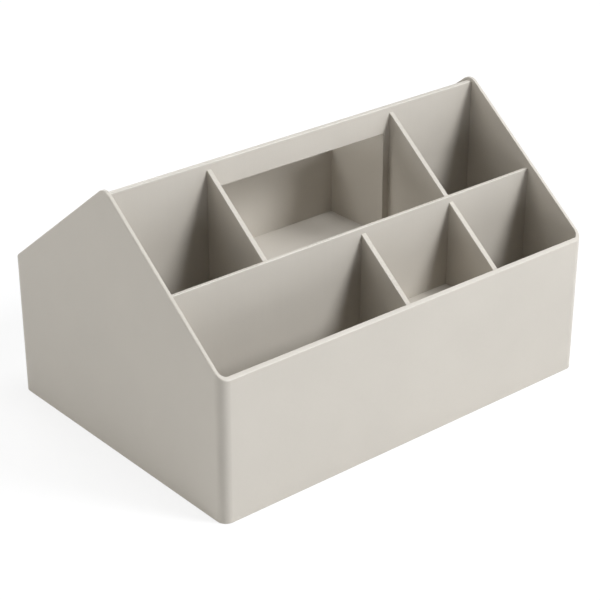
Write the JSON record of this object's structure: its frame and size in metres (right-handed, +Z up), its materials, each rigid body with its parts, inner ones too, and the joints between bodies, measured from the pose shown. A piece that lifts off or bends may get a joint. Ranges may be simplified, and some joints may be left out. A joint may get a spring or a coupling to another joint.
{
  "type": "storage caddy",
  "caption": "Gable-ended moulded caddy: a central handle panel with a wide hand opening, and upright dividers that part it into deep bins and shallower bins with raised floors.",
  "frame": {"origin": "centre of the foot ring, on the surface that the caddy stands on", "axes": "+X along the handle to the right, +Y from the front towards the back, +Z up"},
  "size_m": [0.3704, 0.2654, 0.2183],
  "materials": {
    "satin_plastic": "warm light grey, fine satin as moulded"
  },
  "bodies": {
    "root": {"outer_wall": "satin_plastic", "base_floor": "satin_plastic", "handle_panel": "satin_plastic", "front_long_divider": "satin_plastic", "rear_long_divider": "satin_plastic", "upper_front_left_divider": "satin_plastic", "upper_front_right_divider": "satin_plastic", "upper_rear_left_divider": "satin_plastic", "upper_rear_right_divider": "satin_plastic", "front_row_inner_divider": "satin_plastic", "front_row_outer_divider": "satin_plastic", "rear_row_inner_divider": "satin_plastic", "rear_row_outer_divider": "satin_plastic", "hand_bin_floor": "satin_plastic", "front_middle_bin_floor": "satin_plastic", "rear_middle_bin_floor": "satin_plastic"}
  },
  "joints": []
}
